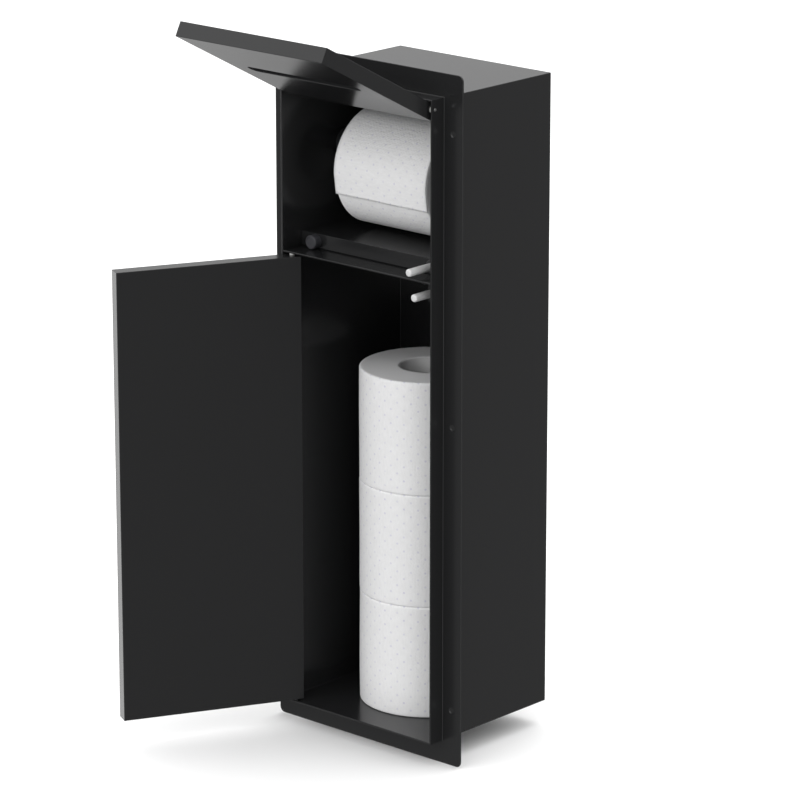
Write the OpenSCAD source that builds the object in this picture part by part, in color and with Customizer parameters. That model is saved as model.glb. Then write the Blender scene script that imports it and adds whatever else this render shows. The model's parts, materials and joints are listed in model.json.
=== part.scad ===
// Recessed toilet paper cabinet. A lift-up flap with a slot closes the roll in use, which
// hangs on a sprung spindle. A side-hung door closes the store of spare rolls below it.
// Millimetres. X to the right, Y into the wall, Z up. The origin is the middle of the
// flange's back face, which lies on the wall. Flap and door are drawn open.

/* [Box] */
// Outside width of the box
box_w = 168; // [160:1:220]
// Outside height of the box
box_h = 550; // [540:1:640]
// Depth of the box, from its front rim to its back
box_d = 148; // [148:1:180]
// Thickness of the sheet steel
sheet_t = 1.5; // [1:0.1:1.6]
// How far the rim stands in front of the flange, for the tiles
rim_proj = 15; // [13:1:25]

/* [Flange] */
// How far the flange reaches past the box all round
flange_margin = 20; // [18:1:40]
// Radius of the flange's corners
flange_corner_r = 5; // [1:1:15]
// Diameter of the screw holes
flange_hole_d = 5; // [4:0.5:7]
// Distance from the box's side to the middle of a screw hole
flange_hole_out = 10; // [8:1:12]
// Distance from the box's end to the outer rows of screw holes
flange_hole_end = 29; // [10:1:60]

/* [Divider] */
// Height of the ledge above the underside of the box
ledge_h = 398.5; // [380:0.5:400]
// Depth of the ledge, from the rim to the riser
ledge_d = 22.5; // [22:0.5:24]
// Height of the riser between the ledge and the raised floor
riser_h = 13; // [13:0.5:16]
// Diameter of the round buffer that stops the flap when it is pressed in
buffer_d = 12; // [8:0.5:13]
// Distance from the middle of the box to the buffer
buffer_x = 65; // [60:1:72]
// How far the closed flap can be pressed in before it meets the buffer
buffer_gap = 2; // [0.5:0.5:5]

/* [Flap and door] */
// Thickness of the hollow flap and of the hollow door
panel_t = 13; // [12:0.5:14]
// Thickness of their sheet steel
skin_t = 1.2; // [0.8:0.1:1.4]
// Gap between a closed panel and the box around it
panel_gap = 2; // [1.8:0.1:2.5]
// Distance from a pivot to the wall beside it
pivot_in = 7; // [7:0.1:8]
// Distance from a pivot to the outer face of its panel
pivot_back = 4.2; // [4:0.1:4.2]
// Angle at which the open panels rest against the rim
open_angle = 117.5; // [90:0.5:117.5]
// Diameter of the pivot pins
pin_d = 2.5; // [2:0.5:3]
// Width of the slot that the paper comes out of
slot_w = 121; // [100:1:130]
// Height of the slot
slot_h = 12; // [3:0.5:14]
// Distance from the flap's pivot down to the slot
slot_down = 68; // [50:1:90]

/* [Latches] */
// Distance from the middle of the box to the push rods
latch_x = 64.5; // [60:0.5:68]
// Diameter of a push rod
rod_d = 6.5; // [6:0.5:7]
// Outer diameter of a latch body
latch_d = 9.6; // [9.4:0.1:9.8]
// Height of the flap's latch above the ledge
flap_latch_up = 6.5; // [6.3:0.1:6.7]
// Distance from the ledge down to the door's latch
door_latch_down = 16; // [15:1:30]
// Travel of the flap's push rod
flap_latch_travel = 20; // [15:1:20]
// Travel of the door's push rod
door_latch_travel = 13.5; // [12:0.5:15]

/* [Roll in use] */
// Diameter of the roll in use
used_roll_d = 100; // [60:1:106]
// Width of the roll in use
used_roll_w = 102; // [90:1:110]
// How far the roll in use stands to the right of the middle
used_roll_x = 1.5; // [-10:0.5:10]
// Diameter of the spindle's tube
spindle_d = 18; // [17:0.5:22]
// Distance from the front rim to the spindle's axis
spindle_depth = 77.7; // [74:0.1:84]
// Height of the spindle's axis above the ledge
spindle_up = 80; // [77:1:84]

/* [Spare rolls] */
// Diameter of a full roll
spare_roll_d = 116; // [90:1:116]
// Width of a full roll, its height as it stands
spare_roll_w = 98.5; // [90:0.5:110]
// Distance from the middle of the box to the spare rolls' axis
spare_roll_x = 2.9; // [-10:0.1:10]
// Distance from the front rim to the spare rolls' axis
spare_roll_depth = 86.7; // [80:0.1:86.9]
// Outer diameter of a cardboard core
core_d = 48; // [40:1:50]
// Wall thickness of a cardboard core
core_t = 1; // [0.5:0.1:1.5]

/* [Hidden] */
$fn = 64;

// Colours
black = "#1d1e20";
plastic_black = "#26272a";
rubber_black = "#2e2e34";
plastic_grey = "#cfcfd0";
nylon = "#f2f2ee";
steel = "#b9bcc0";
paper = "#eeeeee";
card = "#cbbfae";

// Smallest distance kept between faces of two pieces that move past each other
play = 0.3;
// Radial play of a pin or rod in its bore
fit_play = 0.05;
// Overshoot of a cutting shape past the face that it cuts
cut = 1;

// Faces of the box
side_x = box_w / 2 - sheet_t;
rim_y = -(rim_proj + sheet_t);
back_y = rim_y + box_d - sheet_t;
end_z = box_h / 2 - sheet_t;

// Faces of the divider
ledge_z = ledge_h - box_h / 2;
riser_y = rim_y + ledge_d;
floor_z = ledge_z + riser_h;
under_floor_z = floor_z - sheet_t;
tab_h = 8;
side_tab_in = 24;
// Groove along the foot of the riser
groove_h = 0.8;
groove_deep = 0.9;

// Closed panels
panel_w = 2 * (side_x - panel_gap);
panel_back_y = rim_y + panel_t;
flap_low_z = ledge_z + panel_gap;
flap_h = end_z - panel_gap - flap_low_z;
door_low_z = -end_z + panel_gap;
door_h = ledge_z - sheet_t - panel_gap - door_low_z;

// Pivots
pivot_y = rim_y + pivot_back;
flap_pivot_z = end_z - pivot_in;
door_pivot_x = -(side_x - pivot_in);
pin_reach = 12;
pin_proud = 0.3;
// Metal of the ledge that is left over the door's upper pin
pin_cover = 0.4;
bush_d = pin_d + 1.4;
flap_bush_flange_d = pin_d + 3.5;
door_bush_flange_d = pin_d + 2;
bush_len = 6;
washer_d = pin_d + 2;
washer_t = 0.7;
flap_bush_flange_t = panel_gap - washer_t - play;
door_bush_flange_t = panel_gap - play;

// Latches
flap_latch_z = ledge_z + flap_latch_up;
door_latch_z = ledge_z - door_latch_down;
bracket_gap = 6;
bracket_y = riser_y + bracket_gap;
bracket_foot = 16;
collar_d = latch_d + 2.4;
collar_t = 1.5;
latch_chamfer = 0.5;
rod_grip = 12;
latch_room = 14;
cap_plug = 3;
cap_head = 1.6;
latch_wire_r = 0.35;
latch_turns = 9;
rod_tip_r = 1.5;

// Buffer: the flat ring of its face, its dished middle and its outer chamfer
buffer_dish = 0.5;
buffer_dish_slope = 0.2;
buffer_ring = 0.8;
buffer_chamfer = 0.8;
stud_barb = 0.8;
stud_end = 3;

// Spindle, and the roll that hangs on it
spindle_y = rim_y + spindle_depth;
spindle_z = ledge_z + spindle_up;
socket_d = 24;
socket_len = 6;
nose_d = 12;
nose_in = 1.5;
tube_wall = 1.4;
tube_end_x = 20;
spindle_rod_d = spindle_d - 2 * tube_wall - 2 * fit_play;
spindle_rod_in_x = -5;
spindle_rod_wall = 1.2;
spindle_wire_r = 0.5;
spindle_turns = 11;
core_in_r = core_d / 2 - core_t;
roll_z = spindle_z - (core_in_r - spindle_d / 2 - play);

// Spare rolls
spare_y = rim_y + spare_roll_depth;

// ---- Shapes used more than once ----

// A rod along X, from x0 to x1
module rod_x(d, x0, x1) {
  translate([x0, 0, 0]) rotate([0, 90, 0]) cylinder(d = d, h = x1 - x0);
}

// A rod along Y, from y0 to y1
module rod_y(d, y0, y1) {
  translate([0, y0, 0]) rotate([-90, 0, 0]) cylinder(d = d, h = y1 - y0);
}

// A turned piece about the Y axis; the profile's points are [radius, y]
module turned_y(profile) {
  rotate([-90, 0, 0]) rotate_extrude() polygon(profile);
}

// A tube along Z
module tube_z(outer_d, inner_d, h) {
  $fn = 120;
  difference() {
    cylinder(d = outer_d, h = h);
    translate([0, 0, -cut]) cylinder(d = inner_d, h = h + 2 * cut);
  }
}

// A rectangle with round corners, about the origin
module rounded_rect(w, h, r) {
  square([w - 2 * r, h], center = true);
  square([w, h - 2 * r], center = true);
  for (x = [-1, 1], y = [-1, 1]) translate([x * (w / 2 - r), y * (h / 2 - r)]) circle(r);
}

// A flat shape in the XZ plane, thickened along +Y from y0
module plate_y(y0, t) {
  translate([0, y0 + t, 0]) rotate([90, 0, 0]) linear_extrude(t) children();
}

// Helix of round wire along Z, from z = 0 to z = len
module coil_z(mean_r, wire_r, len, turns) {
  sides = 6;
  steps = 14;
  rings = turns * steps;
  pitch = (len - 2 * wire_r) / turns;
  points = [
    for (i = [0 : rings]) for (k = [0 : sides - 1])
      let (a = 360 * i / steps, b = 360 * k / sides, r = mean_r + wire_r * cos(b))
        [r * cos(a), r * sin(a), wire_r + pitch * i / steps + wire_r * sin(b)]
  ];
  walls = [
    for (i = [0 : rings - 1]) for (k = [0 : sides - 1])
      let (n = (k + 1) % sides, a = i * sides, b = a + sides)
        each [[a + k, b + k, b + n], [a + k, b + n, a + n]]
  ];
  ends = [
    [for (k = [0 : sides - 1]) k],
    [for (k = [sides - 1 : -1 : 0]) rings * sides + k]
  ];
  polyhedron(points, concat(walls, ends));
}

// Moves a closed flap or door to where it rests open
module flap_open() {
  translate([0, pivot_y, flap_pivot_z]) rotate([-open_angle, 0, 0])
    translate([0, -pivot_y, -flap_pivot_z]) children();
}

module door_open() {
  translate([door_pivot_x, pivot_y, 0]) rotate([0, 0, -open_angle])
    translate([-door_pivot_x, -pivot_y, 0]) children();
}

// ---- Box ----

// Both side walls and the back, folded from one sheet
module housing_wrap() {
  color(black) difference() {
    translate([-box_w / 2, rim_y, -box_h / 2]) cube([box_w, box_d, box_h]);
    translate([-side_x, rim_y - cut, -box_h / 2 - cut])
      cube([2 * side_x, box_d - sheet_t + cut, box_h + 2 * cut]);
    translate([0, pivot_y, flap_pivot_z]) rod_x(pin_d, -box_w, box_w);
  }
}

// One end of the box, with a tab folded in along the back wall
module end_plate() {
  translate([-side_x, rim_y, end_z]) cube([2 * side_x, back_y - rim_y, sheet_t]);
  translate([-side_x, back_y - sheet_t, end_z - tab_h]) cube([2 * side_x, sheet_t, tab_h]);
}

module top_plate() {
  color(black) end_plate();
}

module bottom_plate() {
  color(black) difference() {
    mirror([0, 0, 1]) end_plate();
    translate([door_pivot_x, pivot_y, -box_h / 2 - cut])
      cylinder(d = pin_d, h = sheet_t + 2 * cut);
  }
}

// Ring round the box that is screwed to the wall board
module flange_frame() {
  hole_x = box_w / 2 + flange_hole_out;
  hole_z = box_h / 2 - flange_hole_end;
  color(black) difference() {
    plate_y(-sheet_t, sheet_t) difference() {
      rounded_rect(box_w + 2 * flange_margin, box_h + 2 * flange_margin, flange_corner_r);
      square([box_w, box_h], center = true);
    }
    for (x = [-hole_x, hole_x], z = [-hole_z, 0, hole_z])
      translate([x, 0, z]) rod_y(flange_hole_d, -sheet_t - cut, cut);
  }
}

// ---- Divider ----

// Ledge, riser and raised floor in one folded sheet, with two tabs at the side walls
module divider_shelf() {
  profile = [
    [rim_y, ledge_z - sheet_t], [riser_y + sheet_t, ledge_z - sheet_t],
    [riser_y + sheet_t, under_floor_z], [back_y, under_floor_z],
    [back_y, floor_z], [riser_y, floor_z], [riser_y, ledge_z + groove_h],
    [riser_y + groove_deep, ledge_z + groove_h], [riser_y + groove_deep, ledge_z],
    [rim_y, ledge_z]
  ];
  tab_y = bracket_y + side_tab_in;
  color(black) difference() {
    union() {
      translate([-side_x, 0, 0]) rotate([90, 0, 90]) linear_extrude(2 * side_x)
        polygon(profile);
      for (x = [-side_x, side_x - sheet_t])
        translate([x, tab_y, under_floor_z - tab_h])
          cube([sheet_t, back_y - tab_y, tab_h]);
    }
    translate([latch_x, 0, flap_latch_z]) rod_y(latch_d, riser_y - cut, bracket_y);
    translate([-buffer_x, 0, flap_latch_z]) rod_y(buffer_d / 2, riser_y - cut, bracket_y);
    translate([door_pivot_x, pivot_y, ledge_z - sheet_t - cut])
      cylinder(d = pin_d, h = sheet_t + cut - pin_cover);
  }
}

// Angle welded to the right-hand wall, which holds both latch bodies
module latch_bracket() {
  low_z = door_latch_z - latch_d;
  inner_x = latch_x - latch_d;
  foot_y = bracket_y + bracket_foot;
  profile = [
    [inner_x, bracket_y], [side_x, bracket_y], [side_x, foot_y],
    [side_x - sheet_t, foot_y], [side_x - sheet_t, bracket_y + sheet_t],
    [inner_x, bracket_y + sheet_t]
  ];
  color(black) difference() {
    translate([0, 0, low_z]) linear_extrude(under_floor_z - low_z) polygon(profile);
    for (z = [flap_latch_z, door_latch_z])
      translate([latch_x, 0, z]) rod_y(latch_d, bracket_y - cut, bracket_y + sheet_t + cut);
  }
}

// Round rubber buffer with a stud that snaps into the riser
module flap_buffer() {
  r = buffer_d / 2;
  ring_r = r - buffer_chamfer - buffer_ring;
  stud_r = r / 2;
  face_y = panel_back_y + buffer_gap;
  dish_y = face_y + buffer_dish;
  behind_y = riser_y + sheet_t;
  stud_y = behind_y + stud_end;
  profile = [
    [0, dish_y], [ring_r - buffer_dish_slope, dish_y], [ring_r, face_y],
    [r - buffer_chamfer, face_y], [r, face_y + buffer_chamfer], [r, riser_y],
    [stud_r, riser_y], [stud_r, behind_y], [stud_r + stud_barb, behind_y + stud_barb],
    [stud_r - stud_barb, stud_y], [0, stud_y]
  ];
  color(rubber_black) translate([-buffer_x, 0, flap_latch_z]) turned_y(profile);
}

// ---- Push latches ----

// Push rod's lengthways places: tip and inner end, at rest
function tip_y(travel) = panel_back_y + play - travel;
function rod_end_y(mount_y) = mount_y + rod_grip;
function latch_end_y(mount_y, travel) = rod_end_y(mount_y) + travel + latch_room;

// Sleeve with a collar against the sheet that it goes through, open at both ends
module latch_body(mount_y, travel) {
  bore_r = rod_d / 2 + fit_play;
  end_y = latch_end_y(mount_y, travel) + cap_plug;
  profile = [
    [bore_r, mount_y - collar_t], [collar_d / 2 - latch_chamfer, mount_y - collar_t],
    [collar_d / 2, mount_y - collar_t + latch_chamfer], [collar_d / 2, mount_y],
    [latch_d / 2, mount_y], [latch_d / 2, end_y], [bore_r, end_y]
  ];
  turned_y(profile);
}

// Cap pressed into the sleeve's inner end, which the spring stands on
module latch_cap(mount_y, travel) {
  bore_r = rod_d / 2 + fit_play;
  start_y = latch_end_y(mount_y, travel);
  sleeve_y = start_y + cap_plug;
  end_y = sleeve_y + cap_head;
  profile = [
    [0, start_y], [bore_r, start_y], [bore_r, sleeve_y], [latch_d / 2, sleeve_y],
    [latch_d / 2, end_y - latch_chamfer], [latch_d / 2 - latch_chamfer, end_y], [0, end_y]
  ];
  turned_y(profile);
}

// Push rod with a rounded tip
module push_rod(mount_y, travel) {
  r = rod_d / 2;
  flat_r = r - rod_tip_r;
  tip = tip_y(travel);
  inner_y = rod_end_y(mount_y);
  profile = concat(
    [[0, tip]],
    [for (a = [0 : 15 : 90]) [flat_r + rod_tip_r * sin(a), tip + rod_tip_r * (1 - cos(a))]],
    [[r, inner_y - latch_chamfer], [r - latch_chamfer, inner_y], [0, inner_y]]
  );
  turned_y(profile);
}

module latch_spring(mount_y, travel) {
  start_y = rod_end_y(mount_y);
  end_y = latch_end_y(mount_y, travel);
  translate([0, start_y, 0]) rotate([-90, 0, 0])
    coil_z(rod_d / 2 - 2 * latch_wire_r, latch_wire_r, end_y - start_y, latch_turns);
}

module flap_latch_body() {
  color(plastic_black) translate([latch_x, 0, flap_latch_z])
    latch_body(riser_y, flap_latch_travel);
}

module flap_latch_cap() {
  color(plastic_black) translate([latch_x, 0, flap_latch_z])
    latch_cap(riser_y, flap_latch_travel);
}

module flap_latch_spring() {
  color(steel) translate([latch_x, 0, flap_latch_z]) latch_spring(riser_y, flap_latch_travel);
}

module flap_latch_plunger() {
  color(plastic_grey) translate([latch_x, 0, flap_latch_z])
    push_rod(riser_y, flap_latch_travel);
}

module door_latch_body() {
  color(plastic_black) translate([latch_x, 0, door_latch_z])
    latch_body(bracket_y, door_latch_travel);
}

module door_latch_cap() {
  color(plastic_black) translate([latch_x, 0, door_latch_z])
    latch_cap(bracket_y, door_latch_travel);
}

module door_latch_spring() {
  color(steel) translate([latch_x, 0, door_latch_z])
    latch_spring(bracket_y, door_latch_travel);
}

module door_latch_plunger() {
  color(plastic_grey) translate([latch_x, 0, door_latch_z])
    push_rod(bracket_y, door_latch_travel);
}

// ---- Pivots ----

// Flanged bush along Z: its flange ends at z = 0 and its barrel goes up
module pivot_bush(flange_d, flange_t) {
  difference() {
    union() {
      translate([0, 0, -flange_t]) cylinder(d = flange_d, h = flange_t);
      cylinder(d = bush_d, h = bush_len);
    }
    translate([0, 0, -flange_t - cut])
      cylinder(d = pin_d + 2 * fit_play, h = bush_len + flange_t + 2 * cut);
  }
}

// Pins fixed in the side walls, one at each end of the flap
module flap_pivot_pins() {
  outer_x = box_w / 2 + pin_proud;
  color(steel) translate([0, pivot_y, flap_pivot_z]) {
    rod_x(pin_d, -outer_x, -outer_x + pin_reach);
    rod_x(pin_d, outer_x - pin_reach, outer_x);
  }
}

// Spring washers between the flap's bushes and the side walls
module flap_friction_washers() {
  middle_x = side_x - (panel_gap - flap_bush_flange_t) / 2;
  color(steel) translate([0, pivot_y, flap_pivot_z]) for (side = [-1, 1])
    difference() {
      rod_x(washer_d, side * middle_x - washer_t / 2, side * middle_x + washer_t / 2);
      rod_x(pin_d, side * middle_x - washer_t, side * middle_x + washer_t);
    }
}

module flap_pivot_bushes() {
  color(nylon) flap_open() translate([0, pivot_y, flap_pivot_z]) {
    translate([-panel_w / 2, 0, 0]) rotate([0, 90, 0])
      pivot_bush(flap_bush_flange_d, flap_bush_flange_t);
    translate([panel_w / 2, 0, 0]) rotate([0, -90, 0])
      pivot_bush(flap_bush_flange_d, flap_bush_flange_t);
  }
}

// Upper pin in the ledge, lower pin in the bottom plate
module door_pivot_pins() {
  upper_z = ledge_z - pin_cover;
  color(steel) translate([door_pivot_x, pivot_y, 0]) {
    translate([0, 0, upper_z - pin_reach]) cylinder(d = pin_d, h = pin_reach);
    translate([0, 0, -box_h / 2]) cylinder(d = pin_d, h = pin_reach);
  }
}

module door_pivot_bushes() {
  color(nylon) door_open() translate([door_pivot_x, pivot_y, 0]) {
    translate([0, 0, door_low_z]) pivot_bush(door_bush_flange_d, door_bush_flange_t);
    translate([0, 0, door_low_z + door_h]) mirror([0, 0, 1])
      pivot_bush(door_bush_flange_d, door_bush_flange_t);
  }
}

// ---- Flap and door ----

// Outer half of a hollow panel: its outer face and the four edges folded back from it
module panel_pan(low_z, h) {
  difference() {
    translate([-panel_w / 2, rim_y, low_z]) cube([panel_w, panel_t - skin_t, h]);
    translate([-panel_w / 2 + skin_t, rim_y + skin_t, low_z + skin_t])
      cube([panel_w - 2 * skin_t, panel_t, h - 2 * skin_t]);
  }
}

// Inner half: a flat sheet welded on the pan's edges
module panel_plate(low_z, h) {
  translate([-panel_w / 2, panel_back_y - skin_t, low_z]) cube([panel_w, skin_t, h]);
}

// Outline of the paper slot, grown by a margin
module slot_outline(margin) {
  r = slot_h / 2 + margin;
  translate([0, flap_pivot_z - slot_down]) {
    square([slot_w - slot_h, 2 * r], center = true);
    for (x = [-1, 1]) translate([x * (slot_w - slot_h) / 2, 0]) circle(r);
  }
}

module flap_outer_pan() {
  color(black) flap_open() difference() {
    panel_pan(flap_low_z, flap_h);
    plate_y(rim_y - cut, skin_t + 2 * cut) slot_outline(0);
    translate([0, pivot_y, flap_pivot_z]) rod_x(bush_d, -panel_w, panel_w);
  }
}

// Inner sheet of the flap, with a collar that lines the slot
module flap_inner_plate() {
  color(black) flap_open() difference() {
    union() {
      panel_plate(flap_low_z, flap_h);
      plate_y(rim_y + skin_t, panel_t - 2 * skin_t) slot_outline(skin_t);
    }
    plate_y(rim_y - cut, panel_t + 2 * cut) slot_outline(0);
  }
}

module door_outer_pan() {
  color(black) door_open() difference() {
    panel_pan(door_low_z, door_h);
    translate([door_pivot_x, pivot_y, door_low_z - cut])
      cylinder(d = bush_d, h = door_h + 2 * cut);
  }
}

module door_inner_plate() {
  color(black) door_open() panel_plate(door_low_z, door_h);
}

// ---- Spindle ----

// Cup on the left-hand wall that a spindle's nose sits in
module spindle_socket() {
  nose_x = -side_x + nose_in;
  translate([0, spindle_y, spindle_z]) difference() {
    rod_x(socket_d, -side_x, -side_x + socket_len);
    rod_x(nose_d + 2 * fit_play, nose_x - play, 0);
  }
}

module spindle_socket_left() {
  color(plastic_black) spindle_socket();
}

module spindle_socket_right() {
  color(plastic_black) mirror([1, 0, 0]) spindle_socket();
}

// Outer half of the spindle, open at its right-hand end
module spindle_tube() {
  left_x = -side_x + socket_len + play;
  color(plastic_black) translate([0, spindle_y, spindle_z]) {
    difference() {
      rod_x(spindle_d, left_x, tube_end_x);
      rod_x(spindle_d - 2 * tube_wall, left_x + tube_wall, tube_end_x + cut);
    }
    rod_x(nose_d, -side_x + nose_in, left_x);
  }
}

// Inner half of the spindle, which slides into the tube
module spindle_rod() {
  right_x = side_x - socket_len - play;
  inner_d = spindle_rod_d - 2 * spindle_rod_wall;
  color(plastic_black) translate([0, spindle_y, spindle_z]) {
    difference() {
      rod_x(spindle_rod_d, spindle_rod_in_x, right_x);
      rod_x(inner_d, spindle_rod_in_x - cut, right_x - tube_wall);
    }
    rod_x(nose_d, right_x, side_x - nose_in);
  }
}

module spindle_spring() {
  start_x = -side_x + socket_len + play + tube_wall;
  mean_r = spindle_rod_d / 2 - 2 * spindle_wire_r;
  color(steel) translate([start_x, spindle_y, spindle_z]) rotate([0, 90, 0])
    coil_z(mean_r, spindle_wire_r, spindle_rod_in_x - start_x, spindle_turns);
}

// ---- Rolls ----

// Places a piece drawn along Z on the hanging roll's axis
module on_roll_axis() {
  translate([used_roll_x - used_roll_w / 2, spindle_y, roll_z]) rotate([0, 90, 0]) children();
}

module roll_paper() {
  color(paper) on_roll_axis() tube_z(used_roll_d, core_d, used_roll_w);
}

module roll_core() {
  color(card) on_roll_axis() tube_z(core_d, 2 * core_in_r, used_roll_w);
}

// Places a piece on the stack; place 0 stands on the bottom plate
module on_stack(place) {
  translate([spare_roll_x, spare_y, -end_z + place * spare_roll_w]) children();
}

module spare_paper(place) {
  color(paper) on_stack(place) tube_z(spare_roll_d, core_d, spare_roll_w);
}

module spare_core(place) {
  color(card) on_stack(place) tube_z(core_d, 2 * core_in_r, spare_roll_w);
}

housing_wrap();
top_plate();
bottom_plate();
flange_frame();
divider_shelf();
latch_bracket();
flap_buffer();
flap_latch_body();
flap_latch_cap();
flap_latch_spring();
door_latch_body();
door_latch_cap();
door_latch_spring();
flap_pivot_pins();
flap_friction_washers();
door_pivot_pins();
spindle_socket_left();
spindle_socket_right();
spindle_tube();
spindle_spring();
spindle_rod();
flap_outer_pan();
flap_inner_plate();
flap_pivot_bushes();
door_outer_pan();
door_inner_plate();
door_pivot_bushes();
flap_latch_plunger();
door_latch_plunger();
roll_paper();
roll_core();
spare_paper(0);  // spare_paper_low
spare_paper(1);  // spare_paper_mid
spare_paper(2);  // spare_paper_top
spare_core(0);  // spare_core_low
spare_core(1);  // spare_core_mid
spare_core(2);  // spare_core_top
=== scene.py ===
"""Looks of the recessed toilet paper cabinet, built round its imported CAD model.

Metres, X to the right along the front, Y into the wall, Z up. Every place comes from the
boxes of the CAD nodes and from the joints; the sizes below are those that the CAD doesn't
hold, such as edge radii, wire thickness and the grain of each material.
"""

import json
import math
import bmesh
import bpy
from mathutils import Matrix, Vector, noise


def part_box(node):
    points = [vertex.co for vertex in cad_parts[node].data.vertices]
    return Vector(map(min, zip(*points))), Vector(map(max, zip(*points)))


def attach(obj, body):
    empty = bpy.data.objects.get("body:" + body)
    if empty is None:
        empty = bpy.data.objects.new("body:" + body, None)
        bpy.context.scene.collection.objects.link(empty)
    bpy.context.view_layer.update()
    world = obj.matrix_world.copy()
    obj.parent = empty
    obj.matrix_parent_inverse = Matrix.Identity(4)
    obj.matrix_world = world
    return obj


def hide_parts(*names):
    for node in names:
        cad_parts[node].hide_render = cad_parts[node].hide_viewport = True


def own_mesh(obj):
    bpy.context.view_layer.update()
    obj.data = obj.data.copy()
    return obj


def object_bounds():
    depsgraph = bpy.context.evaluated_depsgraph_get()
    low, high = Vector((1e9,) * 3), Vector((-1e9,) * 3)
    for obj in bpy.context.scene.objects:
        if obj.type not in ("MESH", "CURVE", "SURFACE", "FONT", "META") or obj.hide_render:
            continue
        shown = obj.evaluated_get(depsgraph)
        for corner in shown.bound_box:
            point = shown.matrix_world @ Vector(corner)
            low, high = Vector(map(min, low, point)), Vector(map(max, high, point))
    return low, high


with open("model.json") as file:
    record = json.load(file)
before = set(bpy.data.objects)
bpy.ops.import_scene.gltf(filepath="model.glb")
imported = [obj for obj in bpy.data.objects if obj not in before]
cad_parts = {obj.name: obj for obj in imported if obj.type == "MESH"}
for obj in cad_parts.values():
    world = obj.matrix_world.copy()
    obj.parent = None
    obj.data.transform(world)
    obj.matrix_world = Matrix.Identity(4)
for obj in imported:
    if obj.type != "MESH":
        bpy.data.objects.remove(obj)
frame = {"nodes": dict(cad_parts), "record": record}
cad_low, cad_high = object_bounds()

MM = 0.001
TURN = 2 * math.pi
nodes = frame["nodes"]


# ---- Small helpers ----------------------------------------------------------------------


def smoothed(value):
    """0 to 1 with a soft start and a soft end."""
    value = min(1.0, max(0.0, value))
    return value * value * (3 - 2 * value)


def new_object(name, mesh, materials, body, slot, *stands_for, place=None, lying=False):
    """Links a piece made of this mesh and lets it ride on a CAD body. A lying piece has its
    local Z along X."""
    obj = bpy.data.objects.new(name, mesh)
    bpy.context.scene.collection.objects.link(obj)
    for material in materials:
        mesh.materials.append(material)
    if place is not None:
        obj.location = place
    if lying:
        obj.rotation_euler = (0, math.radians(90), 0)
    if stands_for:
        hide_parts(*stands_for)
    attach(obj, body)
    return obj


# ---- Materials --------------------------------------------------------------------------


class Nodes:
    """A short way to write a node material."""

    def __init__(self, name, **values):
        self.material = bpy.data.materials.new(name)
        self.material.use_nodes = True
        self.tree = self.material.node_tree
        self.shader = self.tree.nodes["Principled BSDF"]
        for key, value in values.items():
            self.shader.inputs[key.replace("_", " ")].default_value = value

    def add(self, kind, inputs=None, **settings):
        """A node; inputs maps a socket's name or number to a value or to another socket."""
        node = self.tree.nodes.new("ShaderNode" + kind)
        for key, value in settings.items():
            setattr(node, key, value)
        for key, value in (inputs or {}).items():
            self.set(node.inputs[key], value)
        return node

    def set(self, socket, value):
        if isinstance(value, bpy.types.NodeSocket):
            self.tree.links.new(value, socket)
        else:
            socket.default_value = value

    def to_shader(self, **links):
        for key, value in links.items():
            self.set(self.shader.inputs[key.replace("_", " ")], value)

    def place(self):
        """The surface point in the piece's own space, in metres."""
        return self.add("TexCoord").outputs["Object"]

    def noise(self, vector, size, detail=2.0, roughness=0.5):
        """Noise whose features are about size metres wide, from 0 to 1."""
        made = self.add(
            "TexNoise",
            {"Vector": vector, "Scale": 1 / size, "Detail": detail, "Roughness": roughness},
        )
        return made.outputs["Fac"]

    def math(self, operation, *values):
        return self.add("Math", dict(enumerate(values)), operation=operation).outputs[0]

    def span(self, value, low, high):
        """Turns 0 to 1 into low to high."""
        made = self.add("MapRange", {"Value": value, "To Min": low, "To Max": high})
        return made.outputs["Result"]

    def blend(self, factor, first, second):
        """A colour between two colours."""
        made = self.add("Mix", data_type="RGBA")
        self.set(made.inputs["Factor"], factor)
        self.set(made.inputs["A"], first)
        self.set(made.inputs["B"], second)
        return made.outputs["Result"]

    def bump(self, height, depth, strength=1.0, before=None):
        """Relief whose full height is depth metres."""
        inputs = {"Height": height, "Distance": depth, "Strength": strength}
        if before is not None:
            inputs["Normal"] = before
        return self.add("Bump", inputs).outputs["Normal"]


def rgb(red, green, blue):
    return (red, green, blue, 1.0)


def powder_coat():
    """Satin black powder coat: a fine orange peel with a faint change of gloss."""
    m = Nodes("black_powder_coat", IOR=1.45, Specular_IOR_Level=0.5)
    at = m.place()
    peel = m.noise(at, 0.9 * MM, 2)
    cloud = m.noise(at, 60 * MM, 2)
    speck = m.noise(at, 0.35 * MM, 1)
    gloss = m.math("ADD", m.math("MULTIPLY", cloud, 0.7), m.math("MULTIPLY", peel, 0.3))
    m.to_shader(
        Base_Color=m.blend(speck, rgb(0.0120, 0.0122, 0.0127), rgb(0.0155, 0.0157, 0.0163)),
        Roughness=m.span(gloss, 0.17, 0.23),
        Normal=m.bump(peel, 0.008 * MM, 0.5),
    )
    return m.material


def moulded(name, dark, light, roughness, grain, depth, **values):
    """Moulded plastic, nylon or rubber with a fine eroded grain."""
    m = Nodes(name, **values)
    at = m.place()
    pores = m.noise(at, grain, 3, 0.6)
    m.to_shader(
        Base_Color=m.blend(m.noise(at, 8 * grain, 2), dark, light),
        Roughness=m.span(pores, roughness - 0.05, roughness + 0.05),
        Normal=m.bump(pores, depth, 0.6),
    )
    return m.material


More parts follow.
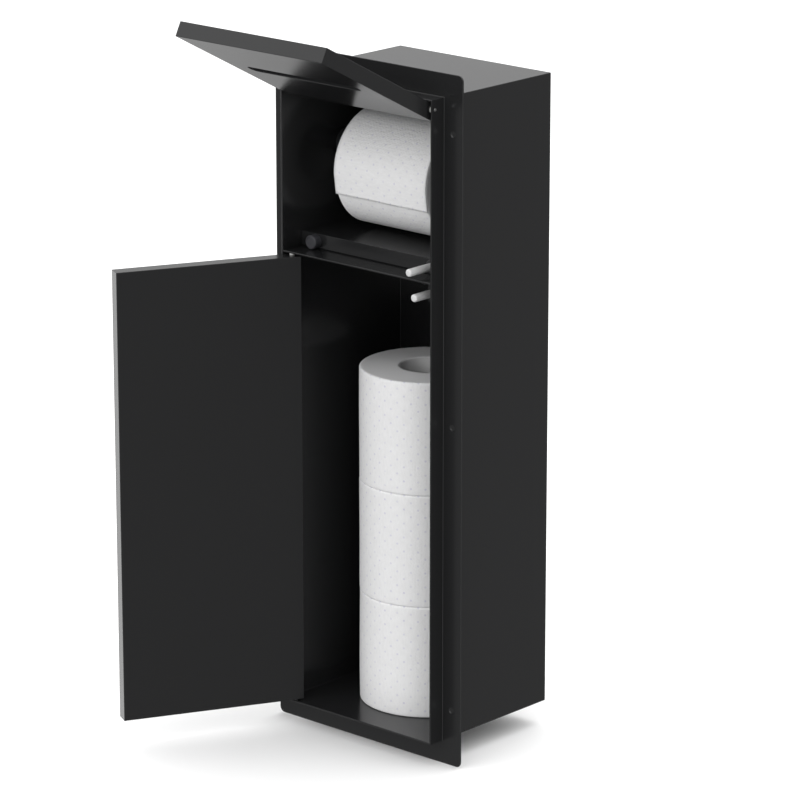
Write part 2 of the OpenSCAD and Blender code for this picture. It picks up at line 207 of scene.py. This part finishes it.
def drawn_steel(name, light, roughness):
    """Bright drawn wire and pins, with fine scratches."""
    m = Nodes(name, Metallic=1.0)
    at = m.place()
    scratch = m.noise(at, 0.25 * MM, 4, 0.7)
    m.to_shader(
        Base_Color=m.blend(scratch, rgb(*(c * 0.82 for c in light)), rgb(*light)),
        Roughness=m.span(scratch, roughness, roughness + 0.12),
        Normal=m.bump(scratch, 0.01 * MM, 0.4),
    )
    return m.material


DOT_PITCH = 8.7 * MM
DOT_RADIUS = 0.95 * MM
EMBOSS_PITCH = 2.3 * MM
CREPE_SIZE = 2.4 * MM
CREPE_STRETCH = 0.35
LAYER_RINGS = 6.3 * MM
SEAM_PITCH = 46 * MM
SEAM_CLIMB = 0.62
SEAM_HALF_WIDTH = 0.008


def tissue():
    """Outside of a roll: pale printed dots in a square lattice that stands on its corner,
    over the fine diagonal pillows of the embossing. Its UV map is in metres."""
    m = Nodes("tissue", IOR=1.35, Specular_IOR_Level=0.25, Sheen_Weight=0.15, Sheen_Roughness=0.6)
    uv = m.add("UVMap", uv_map="metres").outputs["UV"]
    turned = m.add("VectorRotate", {"Vector": uv, "Angle": math.radians(45)}).outputs["Vector"]
    dots = m.add(
        "TexVoronoi",
        {"Vector": turned, "Scale": 1 / DOT_PITCH, "Randomness": 0.0},
        voronoi_dimensions="2D",
    ).outputs["Distance"]
    radius = DOT_RADIUS / DOT_PITCH
    dot = m.add(
        "MapRange",
        {"Value": dots, "From Min": radius * 1.35, "From Max": radius * 0.55},
        interpolation_type="SMOOTHSTEP",
    ).outputs["Result"]
    pillow = m.add(
        "TexVoronoi",
        {"Vector": turned, "Scale": 1 / EMBOSS_PITCH, "Randomness": 0.25},
        voronoi_dimensions="2D",
        feature="SMOOTH_F1",
    ).outputs["Distance"]
    at = m.place()
    fibre = m.noise(at, 0.7 * MM, 4, 0.65)
    cloud = m.noise(at, 14 * MM, 3)
    # Crepe lines run along the roll's axis
    long_way = m.add("Mapping", {"Vector": uv, "Scale": (1.0, CREPE_STRETCH, 1.0)}).outputs["Vector"]
    crepe = m.noise(long_way, CREPE_SIZE, 3, 0.6)
    # The paper is lighter on the crepe's ridges and darker in its low lines: a streaky tone of the
    # paper, with painted shade in the crepe's creases
    white = m.blend(crepe, rgb(0.80, 0.80, 0.805), rgb(0.96, 0.96, 0.965))
    shade = m.blend(m.math("MULTIPLY", cloud, 0.3), white, rgb(0.83, 0.83, 0.835))
    relief = m.bump(pillow, 0.25 * MM, 0.8)
    relief = m.bump(crepe, 0.60 * MM, 0.9, relief)
    relief = m.bump(fibre, 0.08 * MM, 0.5, relief)
    patchy = m.span(m.noise(at, 7 * MM, 1), 0.0, 1.1)
    m.to_shader(
        Base_Color=m.blend(m.math("MULTIPLY", dot, patchy), shade, rgb(0.66, 0.65, 0.76)),
        Roughness=m.span(fibre, 0.86, 0.98),
        Normal=relief,
    )
    return m.material


def tissue_edge():
    """End face of a roll: the cut edges of the wound layers, as rings about local Z."""
    m = Nodes("tissue_edge", IOR=1.35, Specular_IOR_Level=0.2)
    at = m.place()
    layers = m.add(
        "TexWave",
        {
            "Vector": at,
            "Scale": 1 / LAYER_RINGS,
            "Distortion": 1.5,
            "Detail": 2.0,
            "Detail Scale": 3.0,
        },
        wave_type="RINGS",
        rings_direction="Z",
    ).outputs["Fac"]
    fibre = m.noise(at, 0.6 * MM, 3, 0.6)
    cloud = m.noise(at, 18 * MM, 2)
    dust = m.blend(m.math("MULTIPLY", layers, 0.5), rgb(0.81, 0.81, 0.815), rgb(0.91, 0.91, 0.915))
    m.to_shader(
        Base_Color=m.blend(m.math("MULTIPLY", cloud, 0.3), dust, rgb(0.74, 0.74, 0.75)),
        Roughness=m.span(fibre, 0.9, 1.0),
        Normal=m.bump(fibre, 0.12 * MM, 0.4, m.bump(layers, 0.10 * MM, 0.4)),
    )
    return m.material


def grey_board():
    """Plain grey cardboard of a core, with fibres and the helical seam of its winding."""
    m = Nodes("grey_board", Specular_IOR_Level=0.2)
    uv = m.add("UVMap", uv_map="metres").outputs["UV"]
    at = m.place()
    fibre = m.noise(at, 0.8 * MM, 4, 0.65)
    parts = m.add("SeparateXYZ", {"Vector": uv})
    climb = m.math("ADD", m.math("MULTIPLY", parts.outputs["X"], SEAM_CLIMB), parts.outputs["Y"])
    strip = m.math("FRACT", m.math("DIVIDE", climb, SEAM_PITCH))
    off_seam = m.math("ABSOLUTE", m.math("SUBTRACT", strip, 0.5))
    seam = m.math("LESS_THAN", off_seam, SEAM_HALF_WIDTH)
    board = m.blend(fibre, rgb(0.56, 0.56, 0.56), rgb(0.66, 0.66, 0.66))
    m.to_shader(
        Base_Color=m.blend(m.math("MULTIPLY", seam, 0.5), board, rgb(0.42, 0.41, 0.40)),
        Roughness=m.span(fibre, 0.82, 0.95),
        Normal=m.bump(fibre, 0.05 * MM, 0.5, m.bump(seam, -0.15 * MM, 0.6)),
    )
    return m.material


STEEL_BLACK = powder_coat()
PLASTIC_BLACK = moulded(
    "black_plastic", rgb(0.016, 0.016, 0.018), rgb(0.022, 0.022, 0.024), 0.42, 0.5 * MM, 0.02 * MM
)
RUBBER = moulded(
    "black_rubber", rgb(0.028, 0.028, 0.033), rgb(0.036, 0.036, 0.042), 0.55, 0.7 * MM, 0.03 * MM
)
PLASTIC_GREY = moulded(
    "grey_plastic", rgb(0.66, 0.66, 0.66), rgb(0.72, 0.72, 0.72), 0.32, 0.6 * MM, 0.01 * MM
)
NYLON = moulded(
    "white_nylon", rgb(0.80, 0.80, 0.77), rgb(0.86, 0.86, 0.84), 0.4, 0.5 * MM, 0.01 * MM
)
PIN_STEEL = drawn_steel("pin_steel", (0.78, 0.78, 0.79), 0.22)
SPRING_STEEL = drawn_steel("spring_steel", (0.60, 0.60, 0.62), 0.28)
TISSUE = tissue()
TISSUE_EDGE = tissue_edge()
BOARD = grey_board()


# ---- Hard pieces: the CAD shapes with the small radii of their real edges ----------------


WELD_GRID = 0.001 * MM
CORNER_MERGE = 0.002 * MM
WELD_MERGE = 0.06 * MM
FLAT_ANGLE = math.radians(0.4)
BEVEL_ANGLE = math.radians(28)
BEVEL_SEGMENTS = 2


def tidy_mesh(source, merge=CORNER_MERGE):
    """A copy of a mesh with shared corners, and each flat face in one piece. Corners closer
    together than merge become one."""
    made = bmesh.new()
    made.from_mesh(source)
    bmesh.ops.remove_doubles(made, verts=made.verts, dist=merge)
    bmesh.ops.dissolve_limit(
        made, angle_limit=FLAT_ANGLE, verts=made.verts, edges=made.edges
    )
    made.verts.index_update()
    mesh = bpy.data.meshes.new(source.name + "_tidy")
    corners = [v.co.copy() for v in made.verts]
    mesh.from_pydata(corners, [], [[v.index for v in f.verts] for f in made.faces])
    made.free()
    return mesh


def clean_mesh(name):
    return tidy_mesh(nodes[name].data)


def closing_turn(panel):
    """The turn about its hinge that closes a panel, which is drawn open."""
    joints = frame["record"]["behaviour"]["joints"]
    hinge = next(joint for joint in joints if joint["child"] == panel)
    at = Matrix.Translation(hinge["pos_m"])
    angle = math.radians(hinge["range_deg"][1])
    return at @ Matrix.Rotation(angle, 4, Vector(hinge["axis"])) @ at.inverted()


def welded(names, turn=Matrix()):
    """The mesh of CAD nodes that are welded into one, without the faces between them. turn
    squares them up with the axes first, so that touching faces lie in exactly one plane."""
    objs = []
    for name in names:
        mesh = clean_mesh(name)
        mesh.transform(turn)
        for vertex in mesh.vertices:
            vertex.co = [round(c / WELD_GRID) * WELD_GRID for c in vertex.co]
        obj = bpy.data.objects.new(name + "_part", mesh)
        bpy.context.scene.collection.objects.link(obj)
        objs.append(obj)
    for other in objs[1:]:
        union = objs[0].modifiers.new("weld", "BOOLEAN")
        union.operation, union.solver, union.object = "UNION", "EXACT", other
    dg = bpy.context.evaluated_depsgraph_get()
    united = bpy.data.meshes.new_from_object(objs[0].evaluated_get(dg))
    mesh = tidy_mesh(united, WELD_MERGE)
    mesh.transform(turn.inverted())
    for obj in objs:
        bpy.data.objects.remove(obj)
    return mesh


def hard_piece(name, mesh, material, body, slot, edge, *stands_for):
    """A hard piece whose edges get a radius of edge metres."""
    mesh.polygons.foreach_set("use_smooth", [True] * len(mesh.polygons))
    obj = new_object(name, mesh, [material], body, slot, *stands_for)
    bevel = obj.modifiers.new("edges", "BEVEL")
    bevel.width, bevel.segments = edge, BEVEL_SEGMENTS
    bevel.limit_method, bevel.angle_limit = "ANGLE", BEVEL_ANGLE
    # Clamped, the shortest edge of the mesh would set the radius of all the others
    bevel.use_clamp_overlap = False
    bevel.harden_normals = True


BODY_OF = {n: b for b, ns in frame["record"]["behaviour"]["bodies"].items() for n in ns}
SLOT_OF = {s["node"]: s["material_slot"] for s in frame["record"]["subparts"]}
FINISH = {
    "black_steel": STEEL_BLACK,
    "black_plastic": PLASTIC_BLACK,
    "black_rubber": RUBBER,
    "grey_plastic": PLASTIC_GREY,
    "white_nylon": NYLON,
    "pin_steel": PIN_STEEL,
    "spring_steel": SPRING_STEEL,
}
BOX_EDGE = 0.55 * MM
SHEET_EDGE = 0.30 * MM
FOLD_EDGE = 0.50 * MM
PANEL_EDGE = 0.45 * MM
SMALL_EDGE = 0.15 * MM
PIECES = {
    "divider": ("divider_shelf", FOLD_EDGE),
    "bracket": ("latch_bracket", SHEET_EDGE),
    "buffer": ("flap_buffer", SMALL_EDGE),
    "flap_latch_sleeve": ("flap_latch_body", SMALL_EDGE),
    "flap_latch_end_cap": ("flap_latch_cap", SMALL_EDGE),
    "door_latch_sleeve": ("door_latch_body", SMALL_EDGE),
    "door_latch_end_cap": ("door_latch_cap", SMALL_EDGE),
    "flap_pins": ("flap_pivot_pins", SMALL_EDGE),
    "flap_washers": ("flap_friction_washers", SMALL_EDGE),
    "door_pins": ("door_pivot_pins", SMALL_EDGE),
    "left_socket": ("spindle_socket_left", SHEET_EDGE),
    "right_socket": ("spindle_socket_right", SHEET_EDGE),
    "spindle_outer": ("spindle_tube", SHEET_EDGE),
    "spindle_inner_rod": ("spindle_rod", SHEET_EDGE),
    "flap_bushes": ("flap_pivot_bushes", SMALL_EDGE),
    "door_bushes": ("door_pivot_bushes", SMALL_EDGE),
    "flap_push_rod": ("flap_latch_plunger", SMALL_EDGE),
    "door_push_rod": ("door_latch_plunger", SMALL_EDGE),
}

for piece, (node, edge) in PIECES.items():
    slot = SLOT_OF[node]
    hard_piece(piece, clean_mesh(node), FINISH[slot], BODY_OF[node], slot, edge, node)

BOX = ("housing_wrap", "top_plate", "bottom_plate", "flange_frame")
hard_piece("box", welded(BOX), STEEL_BLACK, "housing", "black_steel", BOX_EDGE, *BOX)
for panel in ("flap", "door"):
    halves = (panel + "_outer_pan", panel + "_inner_plate")
    shell = welded(halves, closing_turn(panel))
    hard_piece(panel + "_panel", shell, STEEL_BLACK, panel, "black_steel", PANEL_EDGE, *halves)


# ---- Springs ----------------------------------------------------------------------------


LATCH_WIRE_R = 0.35 * MM
LATCH_TURNS = 9
SPINDLE_WIRE_R = 0.5 * MM
SPINDLE_TURNS = 11
COIL_STEPS = 24
COIL_SIDES = 10
COIL_EASE = 0.15


def coil(name, node, travel_axis, wire_radius, turns):
    """A compression spring with closed ends."""
    low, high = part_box(node)
    axis = max(range(3), key=lambda i: abs(travel_axis[i]))
    centre = (low + high) / 2
    others = [i for i in range(3) if i != axis]
    radius = (high[others[0]] - low[others[0]]) / 2 - wire_radius
    start, end = low[axis] + wire_radius, high[axis] - wire_radius
    steps = turns * COIL_STEPS
    made = bmesh.new()
    rings = []
    for i in range(steps + 1):
        share = i / steps
        angle = TURN * turns * share
        # The end turns lie flat against each other
        open_share = (share * turns - 1) / (turns - 2)
        evenly = min(1.0, max(0.0, open_share))
        pitch = smoothed(open_share) * COIL_EASE + (1 - COIL_EASE) * evenly
        flat = 2 * wire_radius
        along = start + flat * min(1.0, share * turns)
        along += (end - start - 2 * flat) * pitch
        along += flat * max(0.0, share * turns - turns + 1)
        out = Vector((0, 0, 0))
        out[others[0]], out[others[1]] = math.cos(angle), math.sin(angle)
        up = Vector((0, 0, 0))
        up[axis] = 1
        at = Vector(centre) + out * radius
        at[axis] = along
        ring = []
        for k in range(COIL_SIDES):
            turn = TURN * k / COIL_SIDES
            round_wire = out * math.cos(turn) + up * math.sin(turn)
            ring.append(made.verts.new(at + round_wire * wire_radius))
        rings.append(ring)
    for a, b in zip(rings, rings[1:]):
        for k in range(COIL_SIDES):
            n = (k + 1) % COIL_SIDES
            made.faces.new((a[k], a[n], b[n], b[k]))
    made.faces.new(rings[0])
    made.faces.new(rings[-1])
    bmesh.ops.recalc_face_normals(made, faces=made.faces)
    mesh = bpy.data.meshes.new(name)
    made.to_mesh(mesh)
    made.free()
    mesh.polygons.foreach_set("use_smooth", [True] * len(mesh.polygons))
    obj = new_object(name, mesh, [SPRING_STEEL], BODY_OF[node], "spring_steel", node)
    fixed_end = centre.copy()
    fixed_end[axis] = high[axis] if travel_axis[axis] > 0 else low[axis]
    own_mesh(obj)


for side in ("flap", "door"):
    coil(
        side + "_spring_coil", side + "_latch_spring",
        (0, 1, 0), LATCH_WIRE_R, LATCH_TURNS,
    )
coil(
    "spindle_spring_coil", "spindle_spring",
    (-1, 0, 0), SPINDLE_WIRE_R, SPINDLE_TURNS,
)


# ---- Rolls ------------------------------------------------------------------------------

SHEET_T = 0.45 * MM
ROLL_EDGE_R = 1.6 * MM
ROLL_COLUMNS = 192
ROLL_ROWS = 36
END_STEPS = 14
END_HOLLOW = 0.35 * MM
OUTSIDE_SHARE = 0.7
ROLL_UNEVEN = 0.35 * MM
UNEVEN_FROM = 30 * MM
UNEVEN_OVER = 15 * MM
UNEVEN_ROUND = 1.3
UNEVEN_ALONG = 14
SPARE_SEED_STEP = 3.7
USED_SEED = 11.3
BOARD_COLUMNS = 96
BOARD_WALL = 1.0 * MM
BOARD_LIP = 0.2 * MM
BOARD_INSET = 0.4 * MM


def lathe(rings, columns, height_of):
    """A closed ring shape about local Z. rings are (radius, z, part) round its section, and
    part is 0 where the surface goes round and 1 on an end face. The UV map is in metres."""
    made = bmesh.new()
    uv_map = made.loops.layers.uv.new("metres")
    grid = []
    for c in range(columns):
        angle = TURN * c / columns
        column = []
        for radius, z, part in rings:
            r = radius + height_of(radius, angle, z)
            column.append(made.verts.new((r * math.cos(angle), r * math.sin(angle), z)))
        grid.append(column)
    outer = max(r for r, _, _ in rings)
    for c in range(columns):
        for k in range(len(rings)):
            n = (k + 1) % len(rings)
            here, beside = grid[c], grid[(c + 1) % columns]
            face = made.faces.new((here[k], beside[k], beside[n], here[n]))
            face.material_index = 1 if rings[k][2] and rings[n][2] else 0
            face.smooth = True
            corners = ((c, k), (c + 1, k), (c + 1, n), (c, n))
            for loop, (column, ring) in zip(face.loops, corners):
                radius, z, _ = rings[ring]
                around = TURN * column / columns * outer
                loop[uv_map].uv = (around, z if radius > outer * OUTSIDE_SHARE else z - radius)
    bmesh.ops.recalc_face_normals(made, faces=made.faces)
    return made


def roll_section(outer, inner, width):
    """Section of a wound roll: round corners outside, a slightly hollow end face."""
    rings = []
    for i in range(ROLL_ROWS + 1):
        rings.append((outer, ROLL_EDGE_R + (width - 2 * ROLL_EDGE_R) * i / ROLL_ROWS, 0))
    corner = [math.radians(a) for a in (22.5, 45, 67.5)]
    for a in corner:
        radius = outer - ROLL_EDGE_R * (1 - math.cos(a))
        rings.append((radius, width - ROLL_EDGE_R * (1 - math.sin(a)), 0))
    top = []
    for i in range(END_STEPS + 1):
        share = i / END_STEPS
        radius = outer - ROLL_EDGE_R - (outer - ROLL_EDGE_R - inner) * share
        hollow = END_HOLLOW * math.sin(math.pi * share)
        top.append((radius, width - hollow, 1))
    rings += top
    rings += [(radius, width - z, 1) for radius, z, _ in reversed(top)]
    for a in reversed(corner):
        radius = outer - ROLL_EDGE_R * (1 - math.cos(a))
        rings.append((radius, ROLL_EDGE_R * (1 - math.sin(a)), 0))
    return rings


def uneven(seed):
    """A slow change of a roll's radius, as soft paper has, nil at the core."""

    def height_of(radius, angle, z):
        across, up = math.cos(angle) * UNEVEN_ROUND, math.sin(angle) * UNEVEN_ROUND
        rough = noise.noise(Vector((across + seed, up, z * UNEVEN_ALONG)))
        return ROLL_UNEVEN * rough * smoothed((radius - UNEVEN_FROM) / UNEVEN_OVER)

    return height_of


def finish_roll(made, name, materials, body, slot, place, lying, *stands_for):
    """A piece of a roll. place is the start of its axis."""
    mesh = bpy.data.meshes.new(name)
    made.to_mesh(mesh)
    made.free()
    new_object(name, mesh, materials, body, slot, *stands_for, place=place, lying=lying)


def roll_places(paper_node, lying):
    """Start of a roll's axis, its outer radius and its width, from its CAD box."""
    low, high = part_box(paper_node)
    start = (low + high) / 2
    along = 0 if lying else 2
    start[along] = low[along]
    return start, (high[1] - low[1]) / 2, high[along] - low[along]


def paper_and_core(paper_node, core_node, prefix, body, lying, seed, shrink=0.0):
    """A roll and its board tube. shrink leaves room for a loose sheet round the roll."""
    start, outer, width = roll_places(paper_node, lying)
    core_low, core_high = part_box(core_node)
    core_r = (core_high[1] - core_low[1]) / 2
    made = lathe(roll_section(outer - shrink, core_r, width), ROLL_COLUMNS, uneven(seed))
    papers = [TISSUE, TISSUE_EDGE]
    finish_roll(made, prefix + "_tissue", papers, body, "paper", start, lying, paper_node)
    bore_r = core_r - BOARD_WALL
    low_end, high_end = BOARD_INSET, width - BOARD_INSET
    section = [
        (core_r, low_end + BOARD_LIP, 0),
        (core_r, high_end - BOARD_LIP, 0),
        (core_r - BOARD_LIP, high_end, 0),
        (bore_r + BOARD_LIP, high_end, 0),
        (bore_r, high_end - BOARD_LIP, 0),
        (bore_r, low_end + BOARD_LIP, 0),
        (bore_r + BOARD_LIP, low_end, 0),
        (core_r - BOARD_LIP, low_end, 0),
    ]
    made = lathe(section, BOARD_COLUMNS, lambda radius, angle, z: 0.0)
    tube = prefix + "_board_tube"
    finish_roll(made, tube, [BOARD], body, "cardboard", start, lying, core_node)
    return start, outer, width


for step, level in enumerate(("low", "mid", "top")):
    paper, core = "spare_paper_" + level, "spare_core_" + level
    paper_and_core(paper, core, "spare_" + level, "housing", False, SPARE_SEED_STEP * step)

used_start, used_r, used_w = paper_and_core(
    "roll_paper", "roll_core", "used", "roll", True, USED_SEED, SHEET_T
)

# The loose sheet: its torn edge as shares of the roll's radius, the part that hugs the roll in
# degrees, and how far it sags and waves below that
EDGE_OUT, EDGE_DOWN = 0.957, 0.36
HUG_FROM, HUG_OVER = -40, 220
HUG_STEPS, HANG_STEPS, SHEET_COLUMNS = 48, 10, 40
SAG = 0.2 * MM
WAVE = 0.35 * MM
WAVE_ALONG, WAVE_SEED = 35, 4.2


def loose_sheet():
    """The outer turn of the roll in use. It hugs the roll over the top, hangs off it at the
    front and ends in a torn edge. Local X is down and local Y is into the wall."""
    made = bmesh.new()
    uv_map = made.loops.layers.uv.new("metres")
    columns = SHEET_COLUMNS
    edge_y, edge_down = -EDGE_OUT * used_r, EDGE_DOWN * used_r
    path = []
    for i in range(HUG_STEPS + 1):
        # From the back of the roll, over its top, to the level of its axis at the front
        angle = math.radians(HUG_FROM + HUG_OVER * i / HUG_STEPS)
        path.append((-used_r * math.sin(angle), used_r * math.cos(angle)))
    last = path[-1]
    for i in range(1, HANG_STEPS + 1):
        share = i / HANG_STEPS
        sag = (1 - share) * share * SAG
        down = last[0] + (edge_down - last[0]) * share
        path.append((down, last[1] + (edge_y - last[1]) * share - sag))
    lengths = [0.0]
    for a, b in zip(path, path[1:]):
        lengths.append(lengths[-1] + math.dist(a, b))
    roll_height = uneven(USED_SEED)
    grid = []
    for c in range(columns + 1):
        z = used_w * c / columns
        column = []
        for i, (x, y) in enumerate(path):
            loose = smoothed((i - HUG_STEPS) / HANG_STEPS)
            wave = WAVE * loose * noise.noise(Vector((z * WAVE_ALONG, WAVE_SEED, 0)))
            lift = wave + roll_height(used_r, math.atan2(y, x), z) * (1 - loose)
            inner = 1 - (SHEET_T - lift) / used_r
            outer = 1 + lift / used_r
            outside = made.verts.new((x * outer, y * outer, z))
            column.append((outside, made.verts.new((x * inner, y * inner, z))))
        grid.append(column)
    last_row = len(path) - 1

    def quad(corners, spots):
        face = made.faces.new(corners)
        face.smooth = True
        for loop, (c, i) in zip(face.loops, spots):
            loop[uv_map].uv = (lengths[i], used_w * c / columns)

    for c in range(columns):
        for i in range(last_row):
            spots = ((c, i), (c + 1, i), (c + 1, i + 1), (c, i + 1))
            for side in (0, 1):
                quad([grid[a][b][side] for a, b in spots], spots)
        for i in (0, last_row):
            spots = ((c, i), (c + 1, i), (c + 1, i), (c, i))
            here, beside = grid[c][i], grid[c + 1][i]
            quad([here[0], beside[0], beside[1], here[1]], spots)
    for c in (0, columns):
        for i in range(last_row):
            spots = ((c, i), (c, i + 1), (c, i + 1), (c, i))
            here, below = grid[c][i], grid[c][i + 1]
            quad([here[0], below[0], below[1], here[1]], spots)
    bmesh.ops.recalc_face_normals(made, faces=made.faces)
    return made


finish_roll(loose_sheet(), "used_loose_sheet", [TISSUE], "roll", "paper", used_start, True)


# ---- Floor, light and camera ------------------------------------------------------------


FLOOR_HALF = 40.0
FLOOR_GAP = 1 * MM


def pale_floor():
    """A wide pale floor just under the cabinet, seen by the camera alone."""
    size = FLOOR_HALF
    mesh = bpy.data.meshes.new("floor")
    z = cad_low.z - FLOOR_GAP
    corners = [(-size, -size, z), (size, -size, z), (size, size, z), (-size, size, z)]
    mesh.from_pydata(corners, [], [(0, 1, 2, 3)])
    m = Nodes("pale_floor", Specular_IOR_Level=0.1)
    cloud = m.noise(m.place(), 1.5, 2)
    m.to_shader(
        Base_Color=m.blend(cloud, rgb(0.90, 0.90, 0.90), rgb(0.93, 0.93, 0.93)),
        Roughness=m.span(cloud, 0.85, 0.95),
    )
    mesh.materials.append(m.material)
    obj = bpy.data.objects.new("floor", mesh)
    bpy.context.scene.collection.objects.link(obj)
    # The dome below the horizon stands for the floor's light, so the floor adds none of its own
    obj.visible_glossy = obj.visible_diffuse = obj.visible_shadow = False


# Dome light: its brightness at the sine of the height above the horizon
SKY_LIGHT = 1.5
SKY = ((-0.10, 0.22), (0.06, 0.44), (0.28, 0.52), (0.46, 1.0))
# Soft panels on the dome: the way to each, its brightness, and the cosines from its centre at
# which it starts and is in full. The left one shows in the door's edge and the open flap, the
# front one in the welds and edges that face the camera.
PANELS = (
    ((-0.95, 0.12, -0.28), 0.8, 0.80, 0.96),
    ((0.71, -0.64, -0.28), 1.4, 0.95, 0.995),
)


def sky():
    """A dome light that is paler above the horizon than below it, with two soft panels."""
    world = bpy.data.worlds.new("studio")
    bpy.context.scene.world = world
    world.use_nodes = True
    tree = world.node_tree
    tree.nodes.clear()
    out = tree.nodes.new("ShaderNodeOutputWorld")
    background = tree.nodes.new("ShaderNodeBackground")
    spot = tree.nodes.new("ShaderNodeTexCoord")
    parts = tree.nodes.new("ShaderNodeSeparateXYZ")
    ramp = tree.nodes.new("ShaderNodeValToRGB")
    shift = tree.nodes.new("ShaderNodeMath")
    shift.operation = "MULTIPLY_ADD"
    shift.inputs[1].default_value = 0.5
    shift.inputs[2].default_value = 0.5
    stops = ramp.color_ramp.elements
    for extra in (0.5, 0.6):
        stops.new(extra)
    for stop, (height, light) in zip(stops, SKY):
        stop.position, stop.color = 0.5 + 0.5 * height, rgb(light, light, light)
    tree.links.new(spot.outputs["Generated"], parts.inputs[0])
    tree.links.new(parts.outputs["Z"], shift.inputs[0])
    tree.links.new(shift.outputs[0], ramp.inputs["Fac"])
    light = ramp.outputs["Color"]
    for way, strength, edge, core in PANELS:
        towards = tree.nodes.new("ShaderNodeVectorMath")
        towards.operation = "DOT_PRODUCT"
        towards.inputs[1].default_value = Vector(way).normalized()
        tree.links.new(spot.outputs["Generated"], towards.inputs[0])
        panel = tree.nodes.new("ShaderNodeMapRange")
        panel.interpolation_type = "SMOOTHSTEP"
        panel.inputs["From Min"].default_value = edge
        panel.inputs["From Max"].default_value = core
        panel.inputs["To Min"].default_value = 0.0
        panel.inputs["To Max"].default_value = strength
        tree.links.new(towards.outputs["Value"], panel.inputs["Value"])
        total = tree.nodes.new("ShaderNodeVectorMath")
        total.operation = "ADD"
        tree.links.new(light, total.inputs[0])
        tree.links.new(panel.outputs["Result"], total.inputs[1])
        light = total.outputs["Vector"]
    tree.links.new(light, background.inputs["Color"])
    background.inputs["Strength"].default_value = SKY_LIGHT
    tree.links.new(background.outputs[0], out.inputs["Surface"])


def soft_light(name, at, width, height, power):
    """A rectangular light that faces the middle of the flange's back."""
    light = bpy.data.lights.new(name, "AREA")
    light.shape = "RECTANGLE"
    light.size, light.size_y, light.energy = width, height, power
    obj = bpy.data.objects.new(name, light)
    obj.location = at
    obj.rotation_euler = (-Vector(at)).to_track_quat("-Z", "Y").to_euler()
    bpy.context.scene.collection.objects.link(obj)


CAMERA_AZIMUTH = math.radians(42.17)
CAMERA_ELEVATION = math.radians(16.08)
CAMERA_DISTANCE = 3.6283
CAMERA_LENS = 196.5
SENSOR_WIDTH = 36
AIM_RIGHT, AIM_UP = 0.03683, 0.00862


def camera():
    """The photo's view: AIM_RIGHT and AIM_UP move the aim across the picture."""
    data = bpy.data.cameras.new("camera")
    data.lens, data.sensor_width = CAMERA_LENS, SENSOR_WIDTH
    obj = bpy.data.objects.new("camera", data)
    az, el = CAMERA_AZIMUTH, CAMERA_ELEVATION
    back = Vector((math.sin(az) * math.cos(el), -math.cos(az) * math.cos(el), math.sin(el)))
    right = Vector((math.cos(az), math.sin(az), 0))
    aim = Vector((0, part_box("housing_wrap")[0].y, 0)) + right * AIM_RIGHT + back.cross(right) * AIM_UP
    obj.location = aim + back * CAMERA_DISTANCE
    obj.rotation_mode = "QUATERNION"
    obj.rotation_quaternion = (-back).to_track_quat("-Z", "Y")
    bpy.context.scene.collection.objects.link(obj)
    bpy.context.scene.camera = obj


pale_floor()
sky()
soft_light("front", (-0.9, -3.5, 1.0), 3.4, 1.5, 37)
soft_light("top", (0.2, 0.8, 4.0), 3.0, 3.0, 50)
camera()
bpy.context.scene.view_settings.view_transform = "Standard"
